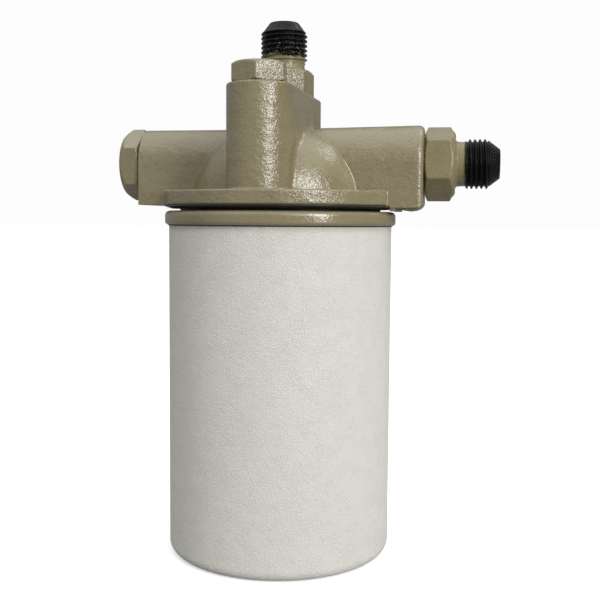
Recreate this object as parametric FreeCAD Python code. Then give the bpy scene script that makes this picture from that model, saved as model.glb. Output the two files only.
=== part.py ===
import FreeCAD, Part
import math
import os
from FreeCAD import Vector

# Spin-on hydraulic filter: a cast head with four ports, and a small cartridge screwed up under it.
# Millimetres. Origin at the centre of the can's flat bottom, +Z up along the can's axis,
# +X towards the open side port, -Y towards the tall boss's front column.

# Can
can_radius = 33.25
can_wall = 0.8
can_corner = 3.0
can_side_height = 97.7

# Seaming lid, the ring rolled round the can's mouth
bead_height = 4.05
bead_overhang = 1.15
bead_rounding = 1.4
bead_foot_rounding = 0.95
lid_sheet = 0.8
lid_fold = 0.3
groove_clearance = 0.3
groove_wall_height = 2.0
seam_gap = 0.05

# Gasket
gasket_inset = 2.55
gasket_width = 3.9
gasket_height = 4.8
gasket_stand = 1.65
gasket_rounding = 0.35

# Tapping plate and mounting stud
plate_thickness = 4.5
plate_rim_gap = 0.1
stud_radius = 9.5
stud_bore = 6.5
stud_reach = 14.0
stud_depth_in_head = 6.4
stud_end_chamfer = 0.8
neck_wall = 3.1
neck_length = 10.5
inlet_count = 8
inlet_radius = 2.75

# Filter element
element_foot_gap = 13.6
cap_sheet = 0.5
cap_clearance = 4.95
cap_rim = 4.0
cap_hole_clearance = 0.1
tube_wall = 0.7
tube_hole_radius = 1.8
tube_hole_rows = 6
tube_holes_per_row = 6
pleat_count = 30
pleat_inset = 1.1
pleat_sheet = 0.6
media_gap = 0.15
grommet_wall = 1.25
grommet_lip = 2.2
grommet_lip_height = 1.5
grommet_spigot = 1.1
grommet_clearance = 0.05
cap_above_neck_end = 0.77
tube_under_grommet = 0.3
element_wire = 0.9
element_coil_radius = 12.0
element_turns = 3.5
spring_seat_gap = 0.05

# Cast head
flange_overhang = 0.1
flange_thickness = 4.0
flange_edge = 0.5
dome_wall = 2.7
dome_rise = 21.9
dome_sink = 1.9
port_axis_rise = 12.3
right_boss_reach = 42.7
right_boss_radius = 11.2
right_boss_root = 10.5
right_boss_drop = 0.5
right_boss_edge = 1.7
left_boss_reach = 41.1
left_boss_radius = 10.45
left_boss_edge = 0.3
seat_margin = 0.5
seat_lip_width = 1.4
seat_lip_drop = 1.5
column_x = -1.44
column_setback = 1.3
front_column_radius = 9.05
rear_column_y = 12.05
rear_column_radius = 11.5
tall_boss_height = 32.7
tall_boss_edge = 0.7
tall_boss_fillet = 1.8

# Oil ways in the head
chamber_inner_radius = 13.6
chamber_inset = 2.5
chamber_depth = 4.8
gallery_radius = 4.5
centre_way_radius = 6.5
riser_radius = 4.0
cross_way_radius = 3.0
cross_way_drop = 14.6
riser_over_cross = 1.5
inlet_way_radius = 3.8
inlet_elbow_drop = 17.0
inlet_way_lean = 6.75
way_end_drop = 1.5
relief_way_radius = 3.0
relief_way_lean = 5.6
relief_elbow_drop = 4.5

# Taper-thread side ports
taper_radius = 8.55
taper_ratio = 1.0 / 32.0
taper_engagement = 11.7
taper_run_out = 2.3
thread_clearance = 0.05

# 37 degree flare ends
flare_thread_radius = 7.144
flare_neck_radius = 6.5
flare_nose_root = 6.27
flare_nose_angle = 37.0
flare_bore = 3.75

# Side adapter
side_hex_flats = 18.85
side_hex_gap = 1.05
side_hex_length = 7.85
side_hex_angle = -125.3
side_neck_length = 2.4
side_thread_length = 7.35
side_nose_length = 2.8

# Side plug
plug_hex_flats = 18.8
plug_hex_gap = 0.35
plug_hex_length = 6.0
plug_hex_chamfer = 1.8
plug_hex_angle = -65.0

# Top adapter and its port
top_stud_radius = 7.144
top_stud_length = 10.0
top_port_depth = 12.0
top_stud_bore = 4.3
top_stud_bore_depth = 12.0
top_hex_flats = 16.5
top_hex_length = 9.0
top_hex_angle = -40.0
top_neck_length = 2.0
top_thread_length = 10.1
top_nose_length = 2.5
top_relief_radius = 6.0
top_ring_section = 0.9

# Bypass plug and its port
relief_stud_radius = 5.55
relief_stud_length = 8.5
relief_hex_flats = 14.3
relief_hex_length = 5.7
relief_hex_angle = -85.1
relief_neck_radius = 4.5
relief_ring_section = 0.8
ring_clearance = 0.05
ring_land = 0.25
ring_recess_room = 0.15

# Hex edges
hex_chamfer_angle = 30.0
hex_chamfer_bite = 0.35

# Bypass valve
valve_chamber_radius = 4.9
valve_chamber_height = 9.1
valve_orifice_radius = 3.0
poppet_radius = 4.3
poppet_head = 2.0
poppet_nose_radius = 2.7
poppet_nose_tip = 2.0
poppet_nose_length = 1.8
poppet_stem_radius = 1.8
poppet_stem_overlap = 5.0
guide_clearance = 0.05
guide_depth = 10.0
relief_wire = 0.45
relief_coil_radius = 3.3
relief_turns = 4.0

# Heights that follow from the sizes above
bead_top = can_side_height + bead_height
flange_bottom = bead_top + gasket_stand
flange_top = flange_bottom + flange_thickness
gasket_bottom = flange_bottom - gasket_height
plate_top = gasket_bottom - lid_sheet
plate_bottom = plate_top - plate_thickness
neck_radius = stud_radius + neck_wall
neck_bottom = plate_top - neck_length
shell_inner = can_radius - can_wall
shell_top = bead_top - lid_sheet - seam_gap
gasket_outer_radius = shell_inner - gasket_inset
gasket_inner_radius = gasket_outer_radius - gasket_width
inlet_circle = (neck_radius + gasket_inner_radius) / 2.0
chamber_outer_radius = gasket_inner_radius - chamber_inset
dome_radius = chamber_outer_radius + dome_wall
flange_radius = can_radius + bead_overhang + flange_overhang
seat_radius = flange_radius + seat_margin
front_column_y = column_setback + front_column_radius - flange_radius
port_axis = flange_bottom + port_axis_rise
boss_top = flange_bottom + tall_boss_height
stud_top = flange_bottom + stud_depth_in_head
stud_bottom = flange_bottom - stud_reach
chamber_roof = flange_bottom + chamber_depth
cap_radius = shell_inner - cap_clearance
pleat_outer_radius = cap_radius - pleat_inset
lower_cap_bottom = can_wall + element_foot_gap
grommet_inner = neck_radius + grommet_clearance
grommet_outer = grommet_inner + grommet_wall
upper_cap_bottom = neck_bottom + cap_above_neck_end
upper_cap_top = upper_cap_bottom + cap_sheet
tube_top = upper_cap_bottom - grommet_spigot - media_gap
tube_inner = grommet_outer - tube_under_grommet
valve_seat = boss_top - relief_stud_length - valve_chamber_height - relief_ring_section
relief_stud_bottom = boss_top - relief_stud_length
taper_port_depth = taper_engagement + taper_run_out

UP = Vector(0, 0, 1)
ALONG_X = Vector(1, 0, 0)
ALONG_Y = Vector(0, 1, 0)
HERE = Vector(0, 0, 0)
FULL_TURN = 360.0
QUARTER_TURN = 90.0
HEX_SIDES = 6
OVERSHOOT = 1.0
SAME_PLACE = 1e-4
SAME_SURFACE = 0.02
ALONG_AN_EDGE = (0.2, 0.5, 0.8)


def unit(vector):
    return vector * (1.0 / vector.Length)


def profile_face(corners):
    """Face in the XZ plane from (radius, height, corner rounding) triples, in order."""
    count = len(corners)
    entries = []
    for index in range(count):
        x, z, rounding = corners[index]
        here = Vector(x, 0, z)
        if rounding <= 0:
            entries.append((here, None, here))
            continue
        before = Vector(corners[index - 1][0], 0, corners[index - 1][1])
        after = Vector(corners[(index + 1) % count][0], 0, corners[(index + 1) % count][1])
        back = unit(before - here)
        ahead = unit(after - here)
        half = math.acos(max(-1.0, min(1.0, back.dot(ahead)))) / 2.0
        reach = rounding / math.tan(half)
        middle = here + unit(back + ahead) * (rounding / math.sin(half) - rounding)
        entries.append((here + back * reach, middle, here + ahead * reach))
    edges = []
    for index in range(count):
        start, middle, end = entries[index]
        if middle is not None:
            edges.append(Part.Arc(start, middle, end).toShape())
        following = entries[(index + 1) % count][0]
        if (following - end).Length > SAME_PLACE:
            edges.append(Part.LineSegment(end, following).toShape())
    return Part.Face(Part.Wire(edges))


def turned(corners):
    """Solid of revolution about Z from a rounded profile."""
    return profile_face(corners).revolve(HERE, UP, FULL_TURN)


def cylinder(radius, start, end):
    """Round bar between two points."""
    path = end - start
    return Part.makeCylinder(radius, path.Length, start, path)


def joined(shapes):
    """One solid from overlapping solids."""
    return shapes[0].multiFuse(shapes[1:]).removeSplitter()


def corner_radius(flats):
    """Distance from a hexagon's centre to its corners."""
    return flats / 2.0 / math.cos(math.pi / HEX_SIDES)


def hex_prism(flats, bottom, top, corner_angle):
    """Hexagonal bar about Z, with one corner at corner_angle from +X."""
    reach = corner_radius(flats)
    points = []
    for index in range(HEX_SIDES + 1):
        angle = math.radians(corner_angle + FULL_TURN / HEX_SIDES * index)
        points.append(Vector(reach * math.cos(angle), reach * math.sin(angle), bottom))
    return Part.Face(Part.makePolygon(points)).extrude(Vector(0, 0, top - bottom))


def hex_head(flats, bottom, top, corner_angle, bottom_drop, top_drop):
    """Hexagon with turned, bevelled ends; a drop is how far the bevel reaches down a corner."""
    reach = corner_radius(flats)
    face_radius = flats / 2.0 - hex_chamfer_bite
    outer = reach + OVERSHOOT
    slope_bottom = bottom_drop / (reach - face_radius)
    slope_top = top_drop / (reach - face_radius)
    blank = turned([
        (0, bottom, 0),
        (face_radius, bottom, 0),
        (outer, bottom + slope_bottom * (outer - face_radius), 0),
        (outer, top - slope_top * (outer - face_radius), 0),
        (face_radius, top, 0),
        (0, top, 0),
    ])
    return hex_prism(flats, bottom, top, corner_angle).common(blank)


def bevel_drop(flats):
    """How far a 30 degree bevel reaches down a hexagon's corner."""
    rise = corner_radius(flats) - flats / 2.0 + hex_chamfer_bite
    return rise * math.tan(math.radians(hex_chamfer_angle))


def towards_plus_x(shape, height):
    """Turn a fitting built along +Z so that it points along +X at a height."""
    shape = shape.copy()
    shape.rotate(HERE, ALONG_Y, QUARTER_TURN)
    shape.translate(Vector(0, 0, height))
    return shape


def towards_minus_x(shape, height):
    shape = shape.copy()
    shape.rotate(HERE, ALONG_Y, -QUARTER_TURN)
    shape.translate(Vector(0, 0, height))
    return shape


def placed(shape, x, y):
    shape = shape.copy()
    shape.translate(Vector(x, y, 0))
    return shape


def coil(wire_radius, coil_radius, bottom, top, turns):
    """Open coil spring whose wire just clears the two seats."""
    low = bottom + wire_radius + spring_seat_gap
    high = top - wire_radius - spring_seat_gap
    pitch = (high - low) / turns
    helix = Part.makeHelix(pitch, high - low, coil_radius)
    start = Vector(coil_radius, 0, 0)
    outwards = ALONG_X * wire_radius
    across = unit(Vector(0, coil_radius, pitch / (2.0 * math.pi))).cross(ALONG_X) * wire_radius
    section = Part.Wire([
        Part.Arc(start + outwards, start + across, start - outwards).toShape(),
        Part.Arc(start - outwards, start - across, start + outwards).toShape(),
    ])
    spring = Part.Wire(helix.Edges).makePipeShell([section], True, True)
    spring.translate(Vector(0, 0, low))
    return spring


def horseshoe(radius, x, bottom):
    """Upright U section at a place along X: a half round over the port axis, straight sides below."""
    left = Vector(x, -radius, port_axis)
    right = Vector(x, radius, port_axis)
    crown = Vector(x, 0, port_axis + radius)
    low_left = Vector(x, -radius, bottom)
    low_right = Vector(x, radius, bottom)
    edges = [
        Part.Arc(left, crown, right).toShape(),
        Part.LineSegment(right, low_right).toShape(),
        Part.LineSegment(low_right, low_left).toShape(),
        Part.LineSegment(low_left, left).toShape(),
    ]
    return Part.Wire(edges)


def side_boss(root_radius, end_radius, reach, bottom, edge_rounding):
    """Port boss with drafted sides, flat underneath, its outer edges rounded."""
    body = Part.makeLoft([horseshoe(root_radius, 0, bottom), horseshoe(end_radius, reach, bottom)],
                         True, True)
    rim = [edge for edge in body.Edges if abs(edge.BoundBox.XMin - reach) < SAME_PLACE
           and abs(edge.BoundBox.XMax - reach) < SAME_PLACE]
    return body.makeFillet(edge_rounding, rim)


def seat_lip():
    """Low lip that the turning of the gasket seat leaves under the right boss."""
    ring = turned([
        (seat_radius, flange_bottom - seat_lip_drop, 0),
        (seat_radius + seat_lip_width, flange_bottom - seat_lip_drop, 0),
        (seat_radius + seat_lip_width, flange_bottom, 0),
        (seat_radius, flange_bottom, 0),
    ])
    corner = Vector(0, -right_boss_root, flange_bottom - seat_lip_drop)
    return ring.common(Part.makeBox(right_boss_reach, 2.0 * right_boss_root, seat_lip_drop, corner))


def tall_boss():
    """Upright oblong boss: a narrow front column and a wider rear one, joined by tangent sides."""
    span = rear_column_y - front_column_y
    lean = math.asin((rear_column_radius - front_column_radius) / span)
    base = flange_bottom + flange_thickness / 2.0

    def side_point(y, radius, sign):
        return Vector(column_x + sign * radius * math.cos(lean), y - radius * math.sin(lean), base)

    front_left = side_point(front_column_y, front_column_radius, -1)
    front_right = side_point(front_column_y, front_column_radius, 1)
    rear_left = side_point(rear_column_y, rear_column_radius, -1)
    rear_right = side_point(rear_column_y, rear_column_radius, 1)
    front_tip = Vector(column_x, front_column_y - front_column_radius, base)
    rear_tip = Vector(column_x, rear_column_y + rear_column_radius, base)
    outline = Part.Wire([
        Part.Arc(front_left, front_tip, front_right).toShape(),
        Part.LineSegment(front_right, rear_right).toShape(),
        Part.Arc(rear_right, rear_tip, rear_left).toShape(),
        Part.LineSegment(rear_left, front_left).toShape(),
    ])
    body = Part.Face(outline).extrude(Vector(0, 0, boss_top - base))
    rim = [edge for edge in body.Edges if abs(edge.BoundBox.ZMin - boss_top) < SAME_PLACE]
    return body.makeFillet(tall_boss_edge, rim)


def dome():
    """Half ellipsoid of revolution that rises out of the flange."""
    base = flange_top - dome_sink
    ellipse = Part.Ellipse(Vector(dome_radius, 0, base), Vector(0, 0, base + dome_rise), Vector(0, 0, base))
    curve = Part.ArcOfEllipse(ellipse, 0, math.pi / 2.0).toShape()
    lower = flange_bottom + flange_edge
    edges = [
        curve,
        Part.LineSegment(Vector(0, 0, base + dome_rise), Vector(0, 0, lower)).toShape(),
        Part.LineSegment(Vector(0, 0, lower), Vector(dome_radius, 0, lower)).toShape(),
        Part.LineSegment(Vector(dome_radius, 0, lower), Vector(dome_radius, 0, base)).toShape(),
    ]
    return Part.Face(Part.Wire(edges)).revolve(HERE, UP, FULL_TURN)


def lies_on(edge, solid):
    """Whether an edge lies on the outside of a solid."""
    skin = solid.Shells[0]
    span = edge.LastParameter - edge.FirstParameter
    for share in ALONG_AN_EDGE:
        point = Part.Vertex(edge.valueAt(edge.FirstParameter + span * share))
        if point.distToShape(skin)[0] > SAME_SURFACE:
            return False
    return True


def casting_body():
    """Flange, dome and bosses as one casting, with a fillet round the tall boss above the flange."""
    flange = turned([
        (0, flange_bottom, 0),
        (flange_radius, flange_bottom, flange_edge),
        (flange_radius, flange_top, flange_edge),
        (0, flange_top, 0),
    ])
    left = side_boss(left_boss_radius, left_boss_radius, left_boss_reach, flange_bottom, left_boss_edge)
    left = left.mirror(HERE, ALONG_X)
    right = side_boss(right_boss_root, right_boss_radius, right_boss_reach,
                      flange_bottom - right_boss_drop, right_boss_edge)
    right = right.cut(cylinder(seat_radius, Vector(0, 0, flange_bottom - OVERSHOOT),
                               Vector(0, 0, flange_bottom)))
    low_parts = joined([flange, dome(), left, right, seat_lip()])
    upright = tall_boss()
    body = joined([low_parts, upright])
    free = [edge for edge in body.Edges if edge.BoundBox.ZMax > flange_top + SAME_SURFACE]
    seam = [edge for edge in free if lies_on(edge, upright) and lies_on(edge, low_parts)]
    return body.makeFillet(tall_boss_fillet, seam)


def taper_port(face, mouth_clearance):
    """Tapered hole along +Z of a side boss whose end face is at a distance from the can's axis."""
    outer = taper_radius + mouth_clearance
    over = OVERSHOOT * taper_ratio
    return Part.makeCone(outer - taper_port_depth * taper_ratio, outer + over,
                         taper_port_depth + OVERSHOOT, Vector(0, 0, face - taper_port_depth))


def ring_port(x, y, thread_radius, depth, neck_radius_here, section):
    """Straight-thread port with the recess that holds a sealing ring under a hexagon."""
    recess = neck_radius_here + 2.0 * section + ring_recess_room
    recess_depth = 2.0 * section + ring_land
    return [
        cylinder(thread_radius + thread_clearance, Vector(x, y, boss_top - depth),
                 Vector(x, y, boss_top + OVERSHOOT)),
        cylinder(recess, Vector(x, y, boss_top - recess_depth), Vector(x, y, boss_top + OVERSHOOT)),
    ]


def bent_way(x, y, elbow_z, lean, radius):
    """Cored way that leaves a vertical bore at an elbow and leans over into the ring chamber."""
    elbow = Vector(x, y, elbow_z)
    foot = Vector(x, y + lean, chamber_roof - way_end_drop)
    return [Part.makeSphere(radius, elbow), cylinder(radius, elbow, foot)]


def filter_head():
    chamber = turned([
        (chamber_inner_radius, flange_bottom - OVERSHOOT, 0),
        (chamber_outer_radius, flange_bottom - OVERSHOOT, 0),
        (chamber_outer_radius, chamber_roof, OVERSHOOT),
        (chamber_inner_radius, chamber_roof, OVERSHOOT),
    ])
    stud_hole = cylinder(stud_radius + thread_clearance, Vector(0, 0, flange_bottom - OVERSHOOT),
                         Vector(0, 0, stud_top + ring_land))
    centre_way = cylinder(centre_way_radius, Vector(0, 0, stud_top), Vector(0, 0, port_axis))
    cross_height = boss_top - cross_way_drop
    riser = cylinder(riser_radius, Vector(0, 0, port_axis), Vector(0, 0, cross_height + riser_over_cross))
    gallery = cylinder(gallery_radius, Vector(taper_port_depth - left_boss_reach, 0, port_axis),
                       Vector(right_boss_reach - taper_port_depth, 0, port_axis))
    cross_way = cylinder(cross_way_radius, Vector(column_x, front_column_y, cross_height),
                         Vector(column_x, 0, cross_height))
    right_port = towards_plus_x(taper_port(right_boss_reach, thread_clearance), port_axis)
    left_port = towards_minus_x(taper_port(left_boss_reach, thread_clearance), port_axis)

    top_elbow = boss_top - inlet_elbow_drop
    top_bore = cylinder(gallery_radius, Vector(column_x, rear_column_y, top_elbow),
                        Vector(column_x, rear_column_y, boss_top))
    relief_elbow = valve_seat - relief_elbow_drop
    orifice = cylinder(valve_orifice_radius, Vector(column_x, front_column_y, relief_elbow),
                       Vector(column_x, front_column_y, boss_top))
    valve_chamber = cylinder(valve_chamber_radius, Vector(column_x, front_column_y, valve_seat),
                             Vector(column_x, front_column_y, boss_top))

    ways = [chamber, stud_hole, centre_way, riser, gallery, cross_way, right_port, left_port,
            top_bore, orifice, valve_chamber]
    ways += ring_port(column_x, rear_column_y, top_stud_radius, top_port_depth, top_relief_radius,
                      top_ring_section)
    ways += ring_port(column_x, front_column_y, relief_stud_radius,
                      relief_stud_length + relief_ring_section, relief_neck_radius,
                      relief_ring_section)
    ways += bent_way(column_x, rear_column_y, top_elbow, inlet_way_lean, inlet_way_radius)
    ways += bent_way(column_x, front_column_y, relief_elbow, relief_way_lean, relief_way_radius)
    casting = casting_body()
    for way in ways:
        casting = casting.cut(way)
    return casting


def flare_end(start, neck_length, thread_length, nose_length):
    """Corners of the neck, thread and nose of a flare end, up from a hexagon's face."""
    neck_end = start + neck_length
    thread_end = neck_end + thread_length
    tip = thread_end + nose_length
    nose_tip = flare_nose_root - nose_length * math.tan(math.radians(flare_nose_angle))
    return [
        (flare_neck_radius, start, 0),
        (flare_neck_radius, neck_end, 0),
        (flare_thread_radius, neck_end, 0),
        (flare_thread_radius, thread_end, 0),
        (flare_nose_root, thread_end, 0),
        (nose_tip, tip, 0),
    ]


def right_port_adapter():
    inner_end = right_boss_reach - taper_engagement
    hex_start = right_boss_reach + side_hex_gap
    hex_end = hex_start + side_hex_length
    drop = bevel_drop(side_hex_flats)
    hexagon = hex_head(side_hex_flats, hex_start, hex_end, side_hex_angle, drop, drop)
    spindle = [
        (0, inner_end, 0),
        (taper_radius - taper_engagement * taper_ratio, inner_end, 0),
        (taper_radius + side_hex_gap * taper_ratio, hex_start, 0),
        (flare_neck_radius, hex_start + OVERSHOOT, 0),
    ]
    spindle += flare_end(hex_end - OVERSHOOT, side_neck_length + OVERSHOOT, side_thread_length,
                         side_nose_length)
    tip = hex_end + side_neck_length + side_thread_length + side_nose_length
    spindle.append((0, tip, 0))
    body = joined([turned(spindle), hexagon])
    body = body.cut(Part.makeCylinder(flare_bore, tip, Vector(0, 0, inner_end - OVERSHOOT)))
    return towards_plus_x(body, port_axis)


def left_port_plug():
    inner_end = left_boss_reach - taper_engagement
    hex_start = left_boss_reach + plug_hex_gap
    hex_end = hex_start + plug_hex_length
    hexagon = hex_head(plug_hex_flats, hex_start, hex_end, plug_hex_angle,
                       bevel_drop(plug_hex_flats) / 2.0, plug_hex_chamfer)
    spindle = turned([
        (0, inner_end, 0),
        (taper_radius - taper_engagement * taper_ratio, inner_end, 0),
        (taper_radius + plug_hex_gap * taper_ratio, hex_start, 0),
        (taper_radius - OVERSHOOT, hex_start + OVERSHOOT, 0),
        (0, hex_start + OVERSHOOT, 0),
    ])
    return towards_minus_x(joined([spindle, hexagon]), port_axis)


def top_port_adapter():
    hex_end = boss_top + top_hex_length
    stud_end = boss_top - top_stud_length
    recess_depth = 2.0 * top_ring_section + ring_land
    drop = bevel_drop(top_hex_flats)
    hexagon = hex_head(top_hex_flats, boss_top, hex_end, top_hex_angle, drop / 2.0, drop)
    spindle = [
        (0, stud_end, 0),
        (top_stud_radius, stud_end, stud_end_chamfer),
        (top_stud_radius, boss_top - recess_depth, 0),
        (top_relief_radius, boss_top - recess_depth, 0),
        (top_relief_radius, boss_top + OVERSHOOT, 0),
    ]
    spindle += flare_end(hex_end - OVERSHOOT, top_neck_length + OVERSHOOT, top_thread_length,
                         top_nose_length)
    tip = hex_end + top_neck_length + top_thread_length + top_nose_length
    spindle.append((0, tip, 0))
    body = joined([turned(spindle), hexagon])
    body = body.cut(Part.makeCylinder(flare_bore, tip, Vector(0, 0, stud_end - OVERSHOOT)))
    body = body.cut(Part.makeCylinder(top_stud_bore, top_stud_bore_depth, Vector(0, 0, stud_end - OVERSHOOT)))
    return placed(body, column_x, rear_column_y)


def sealing_ring(neck_radius_here, section, x, y):
    """Round-section ring under a hexagon, round the fitting's neck."""
    centre_radius = neck_radius_here + section + ring_clearance
    ring = Part.makeTorus(centre_radius, section, Vector(0, 0, boss_top - section - ring_clearance))
    return placed(ring, x, y)


def bypass_plug():
    recess_depth = 2.0 * relief_ring_section + ring_land
    drop = bevel_drop(relief_hex_flats)
    hexagon = hex_head(relief_hex_flats, boss_top, boss_top + relief_hex_length,
                       relief_hex_angle, drop / 2.0, drop)
    spindle = turned([
        (0, relief_stud_bottom, 0),
        (relief_stud_radius, relief_stud_bottom, ring_land),
        (relief_stud_radius, boss_top - recess_depth, 0),
        (relief_neck_radius, boss_top - recess_depth, 0),
        (relief_neck_radius, boss_top + OVERSHOOT, 0),
        (0, boss_top + OVERSHOOT, 0),
    ])
    body = joined([spindle, hexagon])
    guide = Part.makeCylinder(poppet_stem_radius + guide_clearance, guide_depth + OVERSHOOT,
                              Vector(0, 0, relief_stud_bottom - OVERSHOOT))
    return placed(body.cut(guide), column_x, front_column_y)


def bypass_poppet():
    head_top = valve_seat + poppet_head
    stem_top = relief_stud_bottom + poppet_stem_overlap
    body = turned([
        (0, valve_seat - poppet_nose_length, 0),
        (poppet_nose_tip, valve_seat - poppet_nose_length, 0),
        (poppet_nose_radius, valve_seat, 0),
        (poppet_radius, valve_seat, 0),
        (poppet_radius, head_top, ring_land),
        (poppet_stem_radius, head_top, 0),
        (poppet_stem_radius, stem_top, ring_land),
        (0, stem_top, 0),
    ])
    return placed(body, column_x, front_column_y)


def bypass_spring():
    spring = coil(relief_wire, relief_coil_radius, valve_seat + poppet_head, relief_stud_bottom,
                  relief_turns)
    return placed(spring, column_x, front_column_y)


def threaded_nipple():
    return turned([
        (stud_bore, stud_bottom, 0),
        (stud_radius - stud_end_chamfer, stud_bottom, 0),
        (stud_radius, stud_bottom + stud_end_chamfer, 0),
        (stud_radius, stud_top - stud_end_chamfer, 0),
        (stud_radius - stud_end_chamfer, stud_top, 0),
        (stud_bore, stud_top, 0),
    ])


def canister_shell():
    return turned([
        (0, 0, 0),
        (can_radius, 0, can_corner),
        (can_radius, shell_top, 0),
        (shell_inner, shell_top, 0),
        (shell_inner, can_wall, can_corner - can_wall),
        (0, can_wall, 0),
    ])


def seaming_lid():
    outer = can_radius + bead_overhang
    curl = can_radius + seam_gap
    wall = gasket_outer_radius + 2.0 * groove_clearance
    inner_wall = gasket_inner_radius - groove_clearance
    slot_top = bead_top - lid_sheet
    return turned([
        (inner_wall - lid_sheet, plate_top, 0),
        (wall + lid_sheet, plate_top, lid_fold),
        (wall + lid_sheet, slot_top, lid_fold),
        (curl, slot_top, lid_fold / 2.0),
        (curl, can_side_height, 0),
        (outer, can_side_height, bead_foot_rounding),
        (outer, bead_top, bead_rounding),
        (wall, bead_top, lid_fold),
        (wall, gasket_bottom, 0),
        (inner_wall, gasket_bottom, 0),
        (inner_wall, gasket_bottom + groove_wall_height, lid_fold),
        (inner_wall - lid_sheet, gasket_bottom + groove_wall_height, lid_fold),
    ])


def sealing_gasket():
    return turned([
        (gasket_inner_radius, gasket_bottom, gasket_rounding),
        (gasket_outer_radius, gasket_bottom, gasket_rounding),
        (gasket_outer_radius, flange_bottom, gasket_rounding),
        (gasket_inner_radius, flange_bottom, gasket_rounding),
    ])


def base_plate():
    bore = stud_radius + thread_clearance
    rim = shell_inner - plate_rim_gap
    plate = turned([
        (bore, neck_bottom, 0),
        (neck_radius, neck_bottom, lid_fold),
        (neck_radius, plate_bottom, lid_sheet),
        (rim, plate_bottom, lid_fold),
        (rim, plate_top, 0),
        (bore, plate_top, 0),
    ])
    for index in range(inlet_count):
        angle = 2.0 * math.pi * index / inlet_count
        hole = Vector(inlet_circle * math.cos(angle), inlet_circle * math.sin(angle), plate_bottom - OVERSHOOT)
        plate = plate.cut(Part.makeCylinder(inlet_radius, plate_thickness + 2.0 * OVERSHOOT, hole))
    return plate


def element_grommet():
    return turned([
        (grommet_inner, upper_cap_bottom - grommet_spigot, 0),
        (grommet_outer, upper_cap_bottom - grommet_spigot, 0),
        (grommet_outer, upper_cap_top, 0),
        (grommet_outer + grommet_lip, upper_cap_top, 0),
        (grommet_outer + grommet_lip, upper_cap_top + grommet_lip_height, gasket_rounding),
        (grommet_inner, upper_cap_top + grommet_lip_height, 0),
    ])


def upper_end_cap():
    hole = grommet_outer + cap_hole_clearance
    return turned([
        (hole, upper_cap_bottom, 0),
        (cap_radius - cap_sheet, upper_cap_bottom, 0),
        (cap_radius - cap_sheet, upper_cap_top - cap_rim, 0),
        (cap_radius, upper_cap_top - cap_rim, 0),
        (cap_radius, upper_cap_top, cap_sheet),
        (hole, upper_cap_top, 0),
    ])


def lower_end_cap():
    floor = lower_cap_bottom + cap_sheet
    return turned([
        (0, lower_cap_bottom, 0),
        (cap_radius, lower_cap_bottom, cap_sheet),
        (cap_radius, lower_cap_bottom + cap_rim, 0),
        (cap_radius - cap_sheet, lower_cap_bottom + cap_rim, 0),
        (cap_radius - cap_sheet, floor, 0),
        (0, floor, 0),
    ])


def centre_tube():
    outer = tube_inner + tube_wall
    bottom = lower_cap_bottom + cap_sheet
    tube = Part.makeCylinder(outer, tube_top - bottom, Vector(0, 0, bottom))
    tube = tube.cut(Part.makeCylinder(tube_inner, tube_top - bottom, Vector(0, 0, bottom)))
    row_pitch = (tube_top - bottom) / (tube_hole_rows + 1.0)
    for row in range(tube_hole_rows):
        height = bottom + row_pitch * (row + 1.0)
        stagger = (row % 2) / 2.0
        for index in range(tube_holes_per_row):
            angle = 2.0 * math.pi * (index + stagger) / tube_holes_per_row
            outwards = Vector(math.cos(angle), math.sin(angle), 0)
            hole = Part.makeCylinder(tube_hole_radius, outer + OVERSHOOT, Vector(0, 0, height), outwards)
            tube = tube.cut(hole)
    return tube


def pleated_media():
    """Folded filter sheet: a star ring with a constant sheet thickness."""
    inner = tube_inner + tube_wall + media_gap
    bottom = lower_cap_bottom + cap_sheet
    half = math.pi / pleat_count
    flank = math.atan2((pleat_outer_radius + inner) / 2.0 * half, pleat_outer_radius - inner)
    fold = pleat_sheet / math.sin(flank)
    outside = []
    inside = []
    for index in range(pleat_count):
        crest = 2.0 * half * index
        root = crest + half
        for angle, far, near in ((crest, pleat_outer_radius, pleat_outer_radius - fold),
                                 (root, inner + fold, inner)):
            outside.append(Vector(far * math.cos(angle), far * math.sin(angle), bottom))
            inside.append(Vector(near * math.cos(angle), near * math.sin(angle), bottom))
    outer_face = Part.Face(Part.makePolygon(outside + outside[:1]))
    inner_face = Part.Face(Part.makePolygon(inside + inside[:1]))
    return outer_face.cut(inner_face).extrude(Vector(0, 0, upper_cap_bottom - bottom))


def element_spring():
    return coil(element_wire, element_coil_radius, can_wall, lower_cap_bottom, element_turns)


NODES = {
    "filter_head": filter_head,
    "threaded_nipple": threaded_nipple,
    "left_port_plug": left_port_plug,
    "right_port_adapter": right_port_adapter,
    "top_port_adapter": top_port_adapter,
    "bypass_plug": bypass_plug,
    "bypass_spring": bypass_spring,
    "bypass_poppet": bypass_poppet,
    "canister_shell": canister_shell,
    "seaming_lid": seaming_lid,
    "base_plate": base_plate,
    "sealing_gasket": sealing_gasket,
    "element_grommet": element_grommet,
    "upper_end_cap": upper_end_cap,
    "pleated_media": pleated_media,
    "centre_tube": centre_tube,
    "lower_end_cap": lower_end_cap,
    "element_spring": element_spring,
}


def build():
    shapes = {name: make() for name, make in NODES.items()}
    shapes["top_adapter_o_ring"] = sealing_ring(top_relief_radius, top_ring_section, column_x, rear_column_y)
    shapes["bypass_plug_o_ring"] = sealing_ring(relief_neck_radius, relief_ring_section, column_x,
                                                front_column_y)
    return shapes


os.makedirs("parts", exist_ok=True)
for node, shape in build().items():
    solid = shape.Solids[0] if len(shape.Solids) == 1 else shape
    solid.exportStep(os.path.join("parts", node + ".step"))
    print(node, "solids", len(shape.Solids), "valid", shape.isValid(), "volume", round(shape.Volume, 2))
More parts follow.
